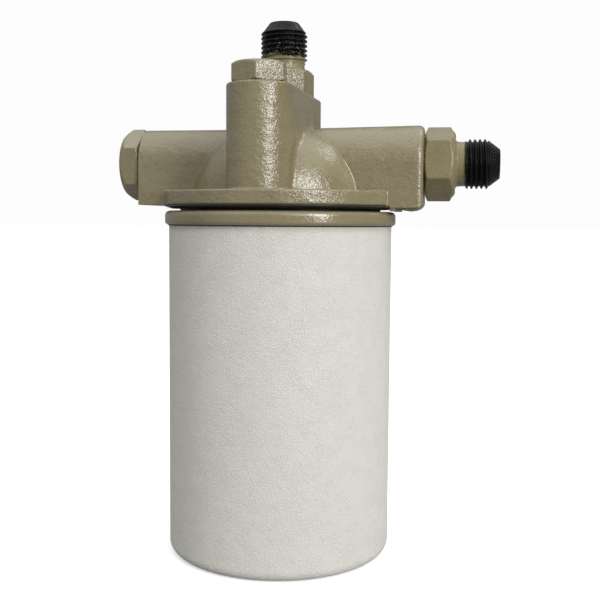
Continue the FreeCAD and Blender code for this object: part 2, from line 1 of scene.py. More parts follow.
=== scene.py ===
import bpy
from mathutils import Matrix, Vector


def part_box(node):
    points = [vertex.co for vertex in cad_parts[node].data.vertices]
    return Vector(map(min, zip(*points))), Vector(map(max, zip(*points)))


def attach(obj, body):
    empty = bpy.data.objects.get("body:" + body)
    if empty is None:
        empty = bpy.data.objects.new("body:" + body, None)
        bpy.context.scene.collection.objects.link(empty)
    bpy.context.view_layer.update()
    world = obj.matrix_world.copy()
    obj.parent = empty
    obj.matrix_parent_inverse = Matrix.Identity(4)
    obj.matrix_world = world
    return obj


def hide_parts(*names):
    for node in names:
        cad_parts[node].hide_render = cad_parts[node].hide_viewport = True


bl_info = {
    "name": "Hydraulic Filter Assembly",
    "version": (1, 0, 0),
    "blender": (4, 5, 0),
    "location": "3D View > Sidebar > Filter",
    "description": "Finishes, threaded fittings and studio for a spin-on hydraulic filter",
    "category": "Object",
}

import math

import bmesh
import bpy
from mathutils import Matrix, Vector, noise

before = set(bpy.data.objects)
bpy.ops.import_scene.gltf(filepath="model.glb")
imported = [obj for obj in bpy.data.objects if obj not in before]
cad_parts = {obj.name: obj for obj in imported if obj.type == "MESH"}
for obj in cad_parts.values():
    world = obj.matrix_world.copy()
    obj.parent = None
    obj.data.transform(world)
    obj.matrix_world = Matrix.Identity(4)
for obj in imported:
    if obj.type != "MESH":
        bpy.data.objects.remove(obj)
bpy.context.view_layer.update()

MM = 0.001
INCH = 25.4 * MM
FULL_TURN = 2.0 * math.pi
THIRTY_DEGREES = math.radians(30.0)

# Hexagon heads: their end faces stop inside the flats, and their outlines run past the corners

HEX_SIDES = 6
CORNER_SAMPLES = 11
CORNER_ROUNDING = 0.5 * MM
BEVEL_SOFTNESS = 0.45 * MM
BEVEL_ANGLE = math.radians(30.0)
FACE_INSET = 0.35 * MM
FACE_ROUNDING = 0.3 * MM
PAST_CORNER = 0.6 * MM

# Flare ends, and the tapered ends in the side ports

FLARE_ANGLE = math.radians(37.0)
FLARE_BORE = 3.75 * MM
NECK_FOOT = 6.9 * MM
NECK_RADIUS = 6.45 * MM
TAPER_RADIUS = 8.55 * MM
TAPER_FALL = 0.36 * MM

# Threads: where the crest's flat ends and the root's starts, as shares of half a pitch

ROWS_A_PITCH = 14
THREAD_RUN_IN = 0.9 * MM
CREST_FLAT = 0.18
ROOT_FLAT = 0.86
THREAD_ROUNDNESS = 0.4

# How finely meshes are divided, and where their shading breaks

ARC_PARTS = 6
FILLET_PARTS = 8
RING_PARTS = 144
SAME_POINT = 0.002 * MM
SMOOTH_UP_TO = math.radians(38.0)


def low(node):
    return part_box(node)[0]


def high(node):
    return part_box(node)[1]


# Places of the fittings, read from the frame

RING_SINK = 0.05 * MM
SEAT_LIP_DROP = 1.5 * MM
RIGHT_BOSS_DROP = 0.5 * MM
BEAD_HEIGHT = 4.05 * MM

TOP_AXIS = (low("top_adapter_o_ring") + high("top_adapter_o_ring")) / 2.0
RELIEF_AXIS = (low("bypass_plug_o_ring") + high("bypass_plug_o_ring")) / 2.0
BOSS_TOP = high("top_adapter_o_ring").z + RING_SINK
TOP_TIP = high("top_port_adapter").z
TOP_STUD_END = low("top_port_adapter").z
RELIEF_TOP = high("bypass_plug").z
RELIEF_STUD_END = low("bypass_plug").z
PORT_AXIS = (low("right_port_adapter").z + high("right_port_adapter").z) / 2.0
SIDE_TIP = high("right_port_adapter").x
SIDE_INNER_END = low("right_port_adapter").x
PLUG_FACE = -low("left_port_plug").x
PLUG_INNER_END = -high("left_port_plug").x
RIGHT_BOSS_FACE = high("filter_head").x
LEFT_BOSS_FACE = -low("filter_head").x
FLANGE_BOTTOM = low("filter_head").z + SEAT_LIP_DROP
BOSS_UNDERSIDE = FLANGE_BOTTOM - RIGHT_BOSS_DROP
BEAD_BOTTOM = high("seaming_lid").z - BEAD_HEIGHT
STUD_BOTTOM = low("threaded_nipple").z
STUD_TOP = high("threaded_nipple").z


# Settings a user would change

class FilterPaintSettings(bpy.types.PropertyGroup):
    """Paint on the head and the fittings"""

    lit: bpy.props.FloatVectorProperty(
        name="Paint", description="Colour of the clean khaki paint", subtype="COLOR",
        size=4, default=(0.245, 0.207, 0.112, 1.0))
    worn: bpy.props.FloatVectorProperty(
        name="Thin paint", description="Colour where the paint is thin or grimy", subtype="COLOR",
        size=4, default=(0.185, 0.152, 0.077, 1.0))
    peel: bpy.props.FloatProperty(
        name="Peel depth", description="Height of the ripple in the paint film", default=0.3 * MM,
        unit="LENGTH")
    edge: bpy.props.FloatProperty(
        name="Edge softness", description="Radius that the paint gives a sharp edge",
        default=0.45 * MM, unit="LENGTH")


class FilterCanSettings(bpy.types.PropertyGroup):
    """Grey finish of the can"""

    tone: bpy.props.FloatVectorProperty(
        name="Can paint", description="Colour of the can's grey paint", subtype="COLOR",
        size=4, default=(0.76, 0.745, 0.695, 1.0))
    shade: bpy.props.FloatVectorProperty(
        name="Can shade", description="Colour in the creases of the grey paint", subtype="COLOR",
        size=4, default=(0.62, 0.605, 0.55, 1.0))
    crinkle: bpy.props.FloatProperty(
        name="Crinkle depth", description="Height of the crinkle in the grey paint",
        default=0.13 * MM, unit="LENGTH")


class FilterThreadSettings(bpy.types.PropertyGroup):
    """Threads of the flare ends and of the mounting stud"""

    flare_pitch: bpy.props.FloatProperty(
        name="Flare pitch", description="Pitch of the flare ends' thread", default=INCH / 18.0,
        unit="LENGTH")
    flare_crest: bpy.props.FloatProperty(
        name="Flare radius", description="Crest radius of the flare ends' thread", default=7.144 * MM,
        unit="LENGTH")
    flare_root: bpy.props.FloatProperty(
        name="Flare root", description="Root radius of the flare ends' thread", default=6.33 * MM,
        unit="LENGTH")
    stud_pitch: bpy.props.FloatProperty(
        name="Stud pitch", description="Pitch of the mounting stud's thread", default=INCH / 16.0,
        unit="LENGTH")


class FilterStageSettings(bpy.types.PropertyGroup):
    """Camera and light"""

    lens: bpy.props.FloatProperty(
        name="Lens", description="Focal length on a 36 mm wide frame", default=54.93, unit="CAMERA")
    floor_tone: bpy.props.FloatProperty(
        name="Floor", description="Brightness of the pale floor", default=0.9)
    glow: bpy.props.FloatProperty(
        name="Floor glow", description="Evens the floor out to the backdrop in the picture", default=0.45)
    backdrop: bpy.props.FloatProperty(
        name="Backdrop", description="Brightness of the plain backdrop behind the object", default=0.98)
    low_fill: bpy.props.FloatProperty(
        name="Low fill", description="Light that comes evenly from all sides", default=0.08)
    high_fill: bpy.props.FloatProperty(
        name="High fill", description="Light that is added from straight above", default=0.85)
    front_fill: bpy.props.FloatProperty(
        name="Front fill", description="Light that is added from the camera's side", default=0.32)
    left_fill: bpy.props.FloatProperty(
        name="Left fill", description="Light that is added from the left", default=0.15)
    back_fill: bpy.props.FloatProperty(
        name="Back fill", description="Light that is added from behind", default=0.14)
    key: bpy.props.FloatProperty(
        name="Key light", description="Power of the tall softbox at the right", default=9.6,
        unit="POWER")
    skirt: bpy.props.FloatProperty(
        name="Skirt light", description="Power of the wide dim softbox beside the key light",
        default=3.4, unit="POWER")
    spot: bpy.props.FloatProperty(
        name="Spot light", description="Power of the small softbox behind and above", default=1.0,
        unit="POWER")


# Tones and grains of the finishes that have no setting; a pair is what a mask mixes

THREAD_BLACK = (0.005, 0.005, 0.005, 1.0)
SPRAY_DUST = (0.4, 0.38, 0.34, 1.0)
# Tone of the painted shade on the can just under the bead
BEAD_SHADE_TONE = (0.17, 0.155, 0.12, 1.0)
WHITE = (1.0, 1.0, 1.0, 1.0)
RUBBER = ((0.012, 0.012, 0.012, 1.0), (0.028, 0.027, 0.026, 1.0))
# Bare casting under the flange, made near black partly as painted shade
BARE_CASTING_AND_SHADE = ((0.03, 0.029, 0.026, 1.0), (0.016, 0.015, 0.013, 1.0))
STUD_STEEL = ((0.5, 0.49, 0.46, 1.0), (0.33, 0.31, 0.27, 1.0))
ZINC = ((0.62, 0.6, 0.54, 1.0), (0.5, 0.46, 0.36, 1.0))
SPRING_WIRE = ((0.42, 0.42, 0.42, 1.0), (0.3, 0.29, 0.27, 1.0))
BRASS = ((0.72, 0.53, 0.24, 1.0), (0.56, 0.39, 0.16, 1.0))
PAPER = ((0.62, 0.5, 0.28, 1.0), (0.5, 0.38, 0.2, 1.0))
FINE_PEEL = 2200.0
COARSE_PEEL = 1500.0


# Meshes

def smooth_min(first, second, softness):
    """The lesser of two radii, with the corner between them rounded off."""
    near = max(softness - abs(first - second), 0.0) / softness
    return min(first, second) - near * near * softness / 4.0


def hexagon_radius(angle, flats, corner_angle, rounding):
    """Distance from the axis to a hexagon with rounded corners, at an angle."""
    sector = FULL_TURN / HEX_SIDES
    away = abs((angle - corner_angle + sector / 2.0) % sector - sector / 2.0)
    half = flats / 2.0
    centre = (half - rounding) / math.cos(THIRTY_DEGREES)
    tangent = half * math.tan(THIRTY_DEGREES - away)
    if tangent <= (half - rounding) * math.tan(THIRTY_DEGREES):
        return half / math.cos(THIRTY_DEGREES - away)
    across = centre * math.sin(away)
    return centre * math.cos(away) + math.sqrt(max(rounding * rounding - across * across, 0.0))


def hexagon_limit(flats, corner_angle, rounding=CORNER_ROUNDING, softness=BEVEL_SOFTNESS):
    """Gives the function that keeps a turned outline inside a hexagon."""
    def limit(radius, angle):
        return smooth_min(radius, hexagon_radius(angle, flats, corner_angle, rounding), softness)
    return limit


def hexagon_angles(corner_angle):
    """Angles round a fitting, close together at its hexagon's corners."""
    sector = FULL_TURN / HEX_SIDES
    half = sector / 2.0
    angles = []
    for side in range(HEX_SIDES):
        corner = corner_angle + side * sector
        for index in range(CORNER_SAMPLES):
            angles.append(corner + half * (index / CORNER_SAMPLES) ** 2)
        for index in range(CORNER_SAMPLES, 0, -1):
            angles.append(corner + sector - half * (index / CORNER_SAMPLES) ** 2)
    return angles


def even_angles(count):
    return [FULL_TURN * index / count for index in range(count)]


def outline(corners, step):
    """Points along a (radius, height, rounding) outline, its corners rounded."""
    points = []
    for index, (radius, height, rounding) in enumerate(corners):
        here = Vector((radius, height))
        if rounding <= 0.0 or index == 0 or index == len(corners) - 1:
            points.append(here)
            continue
        back = (Vector(corners[index - 1][:2]) - here).normalized()
        ahead = (Vector(corners[index + 1][:2]) - here).normalized()
        half = back.angle(ahead) / 2.0
        reach = rounding / math.tan(half)
        middle = here + (back + ahead).normalized() * (rounding / math.sin(half))
        start = here + back * reach - middle
        end = here + ahead * reach - middle
        for part in range(ARC_PARTS + 1):
            share = part / ARC_PARTS
            points.append(middle + (start * (1.0 - share) + end * share).normalized() * rounding)
    dense = [points[0]]
    for before, after in zip(points, points[1:]):
        count = max(1, math.ceil((after - before).length / step))
        for part in range(1, count + 1):
            dense.append(before.lerp(after, part / count))
    return dense


def thread_form(phase):
    """Height of a 60 degree thread across one pitch: 0 at the root, 1 at the crest."""
    away = abs(phase - math.floor(phase) - 0.5) * 2.0
    share = max(0.0, min(1.0, (ROOT_FLAT - away) / (ROOT_FLAT - CREST_FLAT)))
    rounded = share * share * (3.0 - 2.0 * share)
    return rounded * THREAD_ROUNDNESS + share * (1.0 - THREAD_ROUNDNESS)


def new_piece(name, shape):
    """Put a mesh into the scene as a smooth object."""
    data = bpy.data.meshes.new(name)
    shape.to_mesh(data)
    shape.free()
    data.shade_smooth()
    piece = bpy.data.objects.new(name, data)
    bpy.context.scene.collection.objects.link(piece)
    return piece


class Lathe:
    """Builds one turned piece, ring by ring, along its own axis."""

    def __init__(self, angles):
        self.mesh = bmesh.new()
        self.angles = angles
        self.last = None

    def ring(self, radii, heights):
        row = []
        for angle, radius, height in zip(self.angles, radii, heights):
            row.append(self.mesh.verts.new((radius * math.cos(angle), radius * math.sin(angle), height)))
        return row

    def bridge(self, first, second):
        count = len(self.angles)
        for index in range(count):
            after = (index + 1) % count
            self.mesh.faces.new((first[index], first[after], second[after], second[index]))

    def run(self, points, limit=None):
        """Turn an outline; limit(radius, angle) gives the radius that shows."""
        for point in points:
            radii = [limit(point.x, angle) if limit else point.x for angle in self.angles]
            row = self.ring(radii, [point.y] * len(self.angles))
            if self.last:
                self.bridge(self.last, row)
            self.last = row

    def thread(self, bottom, top, root, crest, pitch, phase):
        """A right-hand thread whose rows follow the helix, with a 45 degree bevel at its top."""
        step = pitch / ROWS_A_PITCH
        final = math.ceil((top - bottom) / step)
        count = len(self.angles)
        start_angle = self.angles[0]
        rows = []
        for number in range(-ROWS_A_PITCH, final + 1):
            radii = []
            heights = []
            for angle in self.angles:
                climb = pitch * (angle - start_angle) / FULL_TURN
                height = bottom + number * step + climb
                turn = (height - bottom) / pitch - (angle + phase) / FULL_TURN
                height = min(max(height, bottom), top)
                fade_in = max(0.0, min(1.0, (height - bottom) / THREAD_RUN_IN))
                radius = root + (crest - root) * thread_form(turn) * fade_in
                radii.append(min(radius, root + max(0.0, top - height)))
                heights.append(height)
            rows.append(self.ring(radii, heights))
        for number in range(len(rows) - 1):
            for index in range(count):
                lower = rows[number]
                upper = rows[number + 1]
                if index < count - 1:
                    corners = (lower[index], lower[index + 1], upper[index + 1], upper[index])
                else:
                    wrapped = min(number + ROWS_A_PITCH, len(rows) - 1)
                    above = min(wrapped + 1, len(rows) - 1)
                    corners = (lower[index], rows[wrapped][0], rows[above][0], upper[index])
                if len(set(corners)) == 4:
                    self.mesh.faces.new(corners)
                elif len(set(corners)) == 3:
                    self.mesh.faces.new(list(dict.fromkeys(corners)))
        self.last = self.ring([root] * count, [top] * count)

    def finish(self, name, placing):
        """Close what is built into one object, and move it to its place."""
        bmesh.ops.remove_doubles(self.mesh, verts=self.mesh.verts, dist=SAME_POINT)
        bmesh.ops.dissolve_degenerate(self.mesh, edges=self.mesh.edges, dist=SAME_POINT / 2.0)
        bmesh.ops.recalc_face_normals(self.mesh, faces=self.mesh.faces)
        piece = new_piece(name, self.mesh)
        piece.data.transform(placing)
        piece.data.set_sharp_from_angle(angle=SMOOTH_UP_TO)
        return piece


def on_side_port(degrees):
    """Lay a piece along the side ports' axis: 90 degrees to the right, -90 to the left."""
    return Matrix.Translation((0, 0, PORT_AXIS)) @ Matrix.Rotation(math.radians(degrees), 4, "Y")


def upright(axis):
    return Matrix.Translation((axis.x, axis.y, 0.0))


def hexagon_run(flats, bottom, top, bottom_drop, top_drop, inner_bottom, inner_top):
    """Outline of a hexagon head with turned bevels, from its lower face to its upper one."""
    corner = flats / math.sqrt(3.0)
    face = flats / 2.0 - FACE_INSET
    outer = corner + PAST_CORNER
    lower_slope = bottom_drop / (corner - face)
    upper_slope = top_drop / (corner - face)
    return [
        (inner_bottom, bottom, 0),
        (face, bottom, FACE_ROUNDING),
        (outer, bottom + lower_slope * (outer - face), 0),
        (outer, top - upper_slope * (outer - face), 0),
        (face, top, FACE_ROUNDING),
        (inner_top, top, 0),
    ]


def bevel_drop(flats):
    """How far a hexagon's turned bevel falls from its face to its corner."""
    rise = flats / math.sqrt(3.0) - flats / 2.0 + FACE_INSET
    return rise * math.tan(BEVEL_ANGLE)


def taper_spindle(inner_radius, inner_end, boss_face, hex_start):
    """Outline of the tapered end that screws into a side port, up to its hexagon."""
    return [
        (inner_radius, inner_end, 0),
        (TAPER_RADIUS - TAPER_FALL, inner_end, 0.15 * MM),
        (TAPER_RADIUS, boss_face, 0),
        (TAPER_RADIUS + 0.02 * MM, hex_start, 0),
    ]


def flare_end(lathe, threads, hex_end, neck_end, thread_end, tip, inner_end, turn):
    """Neck, thread, 37 degree nose and bore of a flare adapter, past its hexagon."""
    root = threads.flare_root
    neck = [
        (NECK_FOOT, hex_end, 0),
        (NECK_RADIUS, hex_end + 0.5 * MM, 0.3 * MM),
        (root, neck_end, 0),
    ]
    lathe.run(outline(neck, 0.25 * MM)[1:])
    lathe.thread(neck_end, thread_end, root, threads.flare_crest, threads.flare_pitch, turn)
    nose = [
        (root, thread_end, 0),
        (root - (tip - thread_end) * math.tan(FLARE_ANGLE), tip, 0.12 * MM),
        (FLARE_BORE, tip, 0.1 * MM),
        (FLARE_BORE, inner_end, 0),
    ]
    lathe.run(outline(nose, 0.8 * MM)[1:])


def concave_edges(shape):
    """Sharp inward edges of the casting's outside, in one set."""
    inward_angle = -math.radians(22.0)
    outside_width = 40.0 * MM
    sharp = set()
    for edge in shape.edges:
        if len(edge.link_faces) == 2 and edge.calc_face_angle_signed(0.0) < inward_angle:
            sharp.add(edge)
    outside = set()
    while sharp:
        group = {sharp.pop()}
        front = list(group)
        while front:
            edge = front.pop()
            for corner in edge.verts:
                for other in corner.link_edges:
                    if other in sharp:
                        sharp.remove(other)
                        group.add(other)
                        front.append(other)
        places = [corner.co.x for edge in group for corner in edge.verts]
        if max(places) - min(places) > outside_width:
            outside |= group
    return outside


def crease_chains(data):
    """Runs of (point, left normal, right normal) along the casting's outside creases."""
    sharpest_turn = math.radians(50.0)
    shortest = 0.8 * MM
    shape = bmesh.new()
    shape.from_mesh(data)
    bmesh.ops.remove_doubles(shape, verts=shape.verts, dist=SAME_POINT)
    shape.edges.index_update()
    left = concave_edges(shape)
    crossings = {}
    for edge in left:
        for corner in edge.verts:
            crossings.setdefault(corner, []).append(edge)
    chains = []
    while left:
        first = min(left, key=lambda edge: edge.index)
        path = list(first.verts)
        edges = [first]
        left.remove(first)
        for at_end in (True, False):
            while True:
                tip = path[-1] if at_end else path[0]
                before = path[-2] if at_end else path[1]
                ahead = [edge for edge in crossings[tip] if edge in left]
                if len(crossings[tip]) != 2 or not ahead:
                    break
                further = ahead[0].other_vert(tip)
                if (further.co - tip.co).angle(tip.co - before.co, math.pi) > sharpest_turn:
                    break
                left.remove(ahead[0])
                if at_end:
                    path.append(further)
                    edges.append(ahead[0])
                else:
                    path.insert(0, further)
                    edges.insert(0, ahead[0])
        chains.append(chain_sides(path, edges))
    shape.free()
    return [chain for chain in chains if chain_length(chain) > shortest]


def chain_sides(path, edges):
    """Each point of a chain, with the mean normals of the faces on its left and its right."""
    reach = 2
    lefts = []
    rights = []
    for start, end, edge in zip(path, path[1:], edges):
        for loop in edge.link_loops:
            side = lefts if loop.vert is start else rights
            side.append(loop.face.normal.copy())
    chain = []
    for index, corner in enumerate(path):
        nearest = range(max(0, index - reach), min(len(edges), index + reach))
        left = sum((lefts[number] for number in nearest), Vector())
        right = sum((rights[number] for number in nearest), Vector())
        chain.append((corner.co.copy(), left.normalized(), right.normalized()))
    return chain


def chain_length(chain):
    return sum((after[0] - before[0]).length for before, after in zip(chain, chain[1:]))


def sweep_fillet(shape, chain, radius, normals):
    """A concave round along a chain, tangent to the faces at both its sides."""
    previous = None
    for index, (place, left, right) in enumerate(chain):
        ahead = chain[min(index + 1, len(chain) - 1)][0]
        behind = chain[max(index - 1, 0)][0]
        along = (ahead - behind).normalized()
        left = (left - along * left.dot(along)).normalized()
        right = (right - along * right.dot(along)).normalized()
        out_left = left.cross(along)
        out_right = along.cross(right)
        half = out_left.angle(out_right, math.pi) / 2.0
        middle = place + (out_left + out_right).normalized() * (radius / math.sin(half))
        row = []
        for step in range(FILLET_PARTS + 1):
            share = step / FILLET_PARTS
            normal = (left * (1.0 - share) + right * share).normalized()
            row.append(shape.verts.new(middle - normal * radius))
            normals.append(normal)
        if previous:
            for step in range(FILLET_PARTS):
                shape.faces.new((previous[step], previous[step + 1], row[step + 1], row[step]))
        previous = row


# Node groups

def new_group(name, inputs, outputs):
    """An empty group with its sockets; returns its tree and its two end nodes."""
    tree = bpy.data.node_groups.new(name, "ShaderNodeTree")
    for label, kind, default in inputs:
        tree.interface.new_socket(label, in_out="INPUT", socket_type=kind).default_value = default
    for label, kind in outputs:
        tree.interface.new_socket(label, in_out="OUTPUT", socket_type=kind)
    return tree, tree.nodes.new("NodeGroupInput"), tree.nodes.new("NodeGroupOutput")


def add(tree, kind, **settings):
    """A node of a kind, with its settings."""
    made = tree.nodes.new(kind)
    for key, value in settings.items():
        setattr(made, key, value)
    return made


def maths(tree, operation, first, second=None):
    """A Math node between two sockets or numbers; returns its output."""
    made = add(tree, "ShaderNodeMath", operation=operation)
    for socket, value in zip(made.inputs, (first, second)):
        if isinstance(value, (int, float)):
            socket.default_value = value
        elif value is not None:
            tree.links.new(value, socket)
    return made.outputs[0]


def spread(tree, value, low_in, high_in, low_out=0.0, high_out=1.0):
    """A Map Range node, smooth and clamped; returns its output."""
    made = add(tree, "ShaderNodeMapRange", interpolation_type="SMOOTHSTEP", clamp=True)
    tree.links.new(value, made.inputs["Value"])
    made.inputs["From Min"].default_value = low_in
    made.inputs["From Max"].default_value = high_in
    made.inputs["To Min"].default_value = low_out
    made.inputs["To Max"].default_value = high_out
    return made.outputs["Result"]


def grain(tree, where, scale, detail=2.0, rough=0.5, distortion=0.0):
    """A Noise texture; scale is in features a metre, as a number or a socket."""
    made = add(tree, "ShaderNodeTexNoise")
    tree.links.new(where, made.inputs["Vector"])
    if isinstance(scale, (int, float)):
        made.inputs["Scale"].default_value = scale
    else:
        tree.links.new(scale, made.inputs["Scale"])
    made.inputs["Detail"].default_value = detail
    made.inputs["Roughness"].default_value = rough
    made.inputs["Distortion"].default_value = distortion
    return made.outputs["Fac"]


def blend_colour(tree, mask, first, second):
    """A colour Mix node; mask 0 gives the first colour."""
    made = add(tree, "ShaderNodeMix", data_type="RGBA")
    tree.links.new(mask, made.inputs[0])
    for socket, value in zip((made.inputs[6], made.inputs[7]), (first, second)):
        if hasattr(value, "is_linked"):
            tree.links.new(value, socket)
        else:
            socket.default_value = tuple(value)
    return made.outputs[2]


def scaled(tree, value, factor):
    return maths(tree, "MULTIPLY", value, factor)


def object_place(tree):
    return add(tree, "ShaderNodeTexCoord").outputs["Object"]


def axis_value(tree, axis):
    split = add(tree, "ShaderNodeSeparateXYZ")
    tree.links.new(object_place(tree), split.inputs[0])
    return split.outputs[axis]


def make_paint_film():
    """Sprayed film on rough metal: fine peel, cast lumps and patches of thinner paint.

    The peel is strong on the right side and weak on the left, past a wandering border.
    """
    tree, inside, outside = new_group("Paint film", [
        ("Peel scale", "NodeSocketFloat", FINE_PEEL),
        ("Cast lumps", "NodeSocketFloat", 0.5),
    ], [
        ("Height", "NodeSocketFloat"),
        ("Thin", "NodeSocketFloat"),
        ("Roughness", "NodeSocketFloat"),
    ])
    place = object_place(tree)
    patches = grain(tree, place, 70.0, detail=4.0, rough=0.6, distortion=0.4)
    fine = grain(tree, place, inside.outputs["Peel scale"], detail=1.5, distortion=0.2)
    wandering = scaled(tree, grain(tree, place, 85.0), 12.0 * MM)
    sprayed = maths(tree, "ADD", axis_value(tree, "X"), wandering)
    peel = scaled(tree, fine, spread(tree, sprayed, -10.0 * MM, 2.0 * MM, 0.14, 0.42))
    lumps = scaled(tree, grain(tree, place, 900.0, detail=1.0), 0.45)
    waves = scaled(tree, grain(tree, place, 240.0, detail=1.0, rough=0.4), 0.9)
    cast = scaled(tree, maths(tree, "ADD", lumps, waves), inside.outputs["Cast lumps"])
    tree.links.new(maths(tree, "ADD", peel, cast), outside.inputs["Height"])
    specks = grain(tree, place, 620.0, rough=0.6)
    thin = maths(tree, "ADD", spread(tree, patches, 0.42, 0.72, 0.0, 0.6),
                 spread(tree, specks, 0.56, 0.72, 0.0, 0.5))
    tree.links.new(maths(tree, "MINIMUM", thin, 1.0), outside.inputs["Thin"])
    tree.links.new(spread(tree, patches, 0.3, 0.7, 0.14, 0.22), outside.inputs["Roughness"])
    return tree


def make_soft_edge():
    """Edges rounded by paint, and a mask of where they are."""
    tree, inside, outside = new_group("Soft edge", [
        ("Radius", "NodeSocketFloat", 0.4 * MM),
    ], [
        ("Normal", "NodeSocketVector"),
        ("Edge", "NodeSocketFloat"),
    ])
    bevel = add(tree, "ShaderNodeBevel", samples=6)
    tree.links.new(inside.outputs["Radius"], bevel.inputs["Radius"])
    facing = add(tree, "ShaderNodeVectorMath", operation="DOT_PRODUCT")
    tree.links.new(bevel.outputs["Normal"], facing.inputs[0])
    tree.links.new(add(tree, "ShaderNodeNewGeometry").outputs["Normal"], facing.inputs[1])
    tree.links.new(spread(tree, facing.outputs["Value"], 0.995, 0.85), outside.inputs["Edge"])
    tree.links.new(bevel.outputs["Normal"], outside.inputs["Normal"])
    return tree


def make_masking_line():
    """Ragged line along a fitting's axis, past which it is bare, with spray dust that fades out."""
    tree, inside, outside = new_group("Masking line", [
        ("Along", "NodeSocketFloat", 0.0),
        ("Line", "NodeSocketFloat", 0.0),
        ("Ragged", "NodeSocketFloat", 0.8 * MM),
    ], [
        ("Bare", "NodeSocketFloat"),
        ("Dust", "NodeSocketFloat"),
    ])
    place = object_place(tree)
    wander = maths(tree, "SUBTRACT", grain(tree, place, 260.0, detail=3.0, rough=0.6), 0.5)
    shift = scaled(tree, wander, scaled(tree, inside.outputs["Ragged"], 4.0))
    beyond = maths(tree, "SUBTRACT", inside.outputs["Along"], inside.outputs["Line"])
    past = maths(tree, "ADD", beyond, shift)
    tree.links.new(spread(tree, past, -0.25 * MM, 0.45 * MM), outside.inputs["Bare"])
    dust = spread(tree, grain(tree, place, 1500.0, rough=0.6), 0.6, 0.68)
    fade = spread(tree, past, 0.4 * MM, 5.5 * MM, 1.0, 0.1)
    amount = spread(tree, inside.outputs["Ragged"], 0.1 * MM, 0.8 * MM)
    tree.links.new(scaled(tree, dust, scaled(tree, fade, amount)), outside.inputs["Dust"])
    return tree


def make_fine_crinkle():
    """Leathery crinkle: low cells with creases between them, on a slow swell with fine grit."""
    tree, inside, outside = new_group("Fine crinkle", [
        ("Scale", "NodeSocketFloat", 1500.0),
    ], [
        ("Height", "NodeSocketFloat"),
        ("Crease", "NodeSocketFloat"),
        ("Patch", "NodeSocketFloat"),
    ])
    place = object_place(tree)
    wander = add(tree, "ShaderNodeTexNoise")
    tree.links.new(place, wander.inputs["Vector"])
    wander.inputs["Scale"].default_value = 700.0
    push = add(tree, "ShaderNodeVectorMath", operation="SCALE")
    tree.links.new(wander.outputs["Color"], push.inputs[0])
    push.inputs["Scale"].default_value = 0.7 * MM
    moved = add(tree, "ShaderNodeVectorMath", operation="ADD")
    tree.links.new(place, moved.inputs[0])
    tree.links.new(push.outputs[0], moved.inputs[1])
    cells = add(tree, "ShaderNodeTexVoronoi", feature="DISTANCE_TO_EDGE")
    tree.links.new(moved.outputs[0], cells.inputs["Vector"])
    tree.links.new(inside.outputs["Scale"], cells.inputs["Scale"])
    crest = spread(tree, cells.outputs["Distance"], 0.0, 0.28)
    swell = grain(tree, place, 480.0, detail=3.0, rough=0.6, distortion=0.5)
    grit = scaled(tree, grain(tree, place, 2200.0, detail=1.5, rough=0.6), 0.8)
    height = maths(tree, "ADD", scaled(tree, crest, 0.45), maths(tree, "ADD", swell, grit))
    tree.links.new(height, outside.inputs["Height"])
    depth = spread(tree, grain(tree, place, 210.0), 0.4, 0.62, 0.6, 1.0)
    crease = scaled(tree, maths(tree, "SUBTRACT", 1.0, crest), depth)
    tree.links.new(crease, outside.inputs["Crease"])
    patch = spread(tree, grain(tree, place, 45.0, detail=3.0, rough=0.55), 0.35, 0.7)
    tree.links.new(patch, outside.inputs["Patch"])
    return tree


def make_turned_metal():
    """Fine tool marks and stains of a machined or pressed metal surface."""
    tree, inside, outside = new_group("Turned metal", [
        ("Marks", "NodeSocketFloat", 6000.0),
    ], [
        ("Height", "NodeSocketFloat"),
        ("Stain", "NodeSocketFloat"),
        ("Roughness", "NodeSocketFloat"),
    ])
    place = object_place(tree)
    stretch = add(tree, "ShaderNodeMapping")
    stretch.inputs["Scale"].default_value = (0.05, 0.05, 1.0)
    tree.links.new(place, stretch.inputs["Vector"])
    marks = grain(tree, stretch.outputs["Vector"], inside.outputs["Marks"], rough=0.6)
    tree.links.new(marks, outside.inputs["Height"])
    stain = grain(tree, place, 150.0, detail=4.0, rough=0.6, distortion=0.4)
    tree.links.new(spread(tree, stain, 0.4, 0.7), outside.inputs["Stain"])
    tree.links.new(spread(tree, stain, 0.3, 0.7, 0.26, 0.42), outside.inputs["Roughness"])
    return tree


GROUP_MAKERS = {
    "Paint film": make_paint_film,
    "Soft edge": make_soft_edge,
    "Masking line": make_masking_line,
    "Fine crinkle": make_fine_crinkle,
    "Turned metal": make_turned_metal,
}


# Finishes

def group_node(tree, name, **values):
    """Place a shared group in a material, with its own values; its first use builds it."""
    group = bpy.data.node_groups.get(name) or GROUP_MAKERS[name]()
    made = add(tree, "ShaderNodeGroup", node_tree=group)
    for key, value in values.items():
        socket = made.inputs[key.replace("_", " ")]
        if isinstance(value, (int, float)):
            socket.default_value = value
        else:
            tree.links.new(value, socket)
    return made


def new_material(name):
    """A node material; returns it with its tree and its shader."""
    material = bpy.data.materials.new(name)
    material.use_nodes = True
    tree = material.node_tree
    return material, tree, tree.nodes["Principled BSDF"]


def bump(tree, shader, height, depth, normal=None):
    """Give a shader a relief of a depth in metres, on top of a softened normal."""
    made = add(tree, "ShaderNodeBump")
    made.inputs["Distance"].default_value = depth
    tree.links.new(height, made.inputs["Height"])
    if normal is not None:
        tree.links.new(normal, made.inputs["Normal"])
    tree.links.new(made.outputs["Normal"], shader.inputs["Normal"])


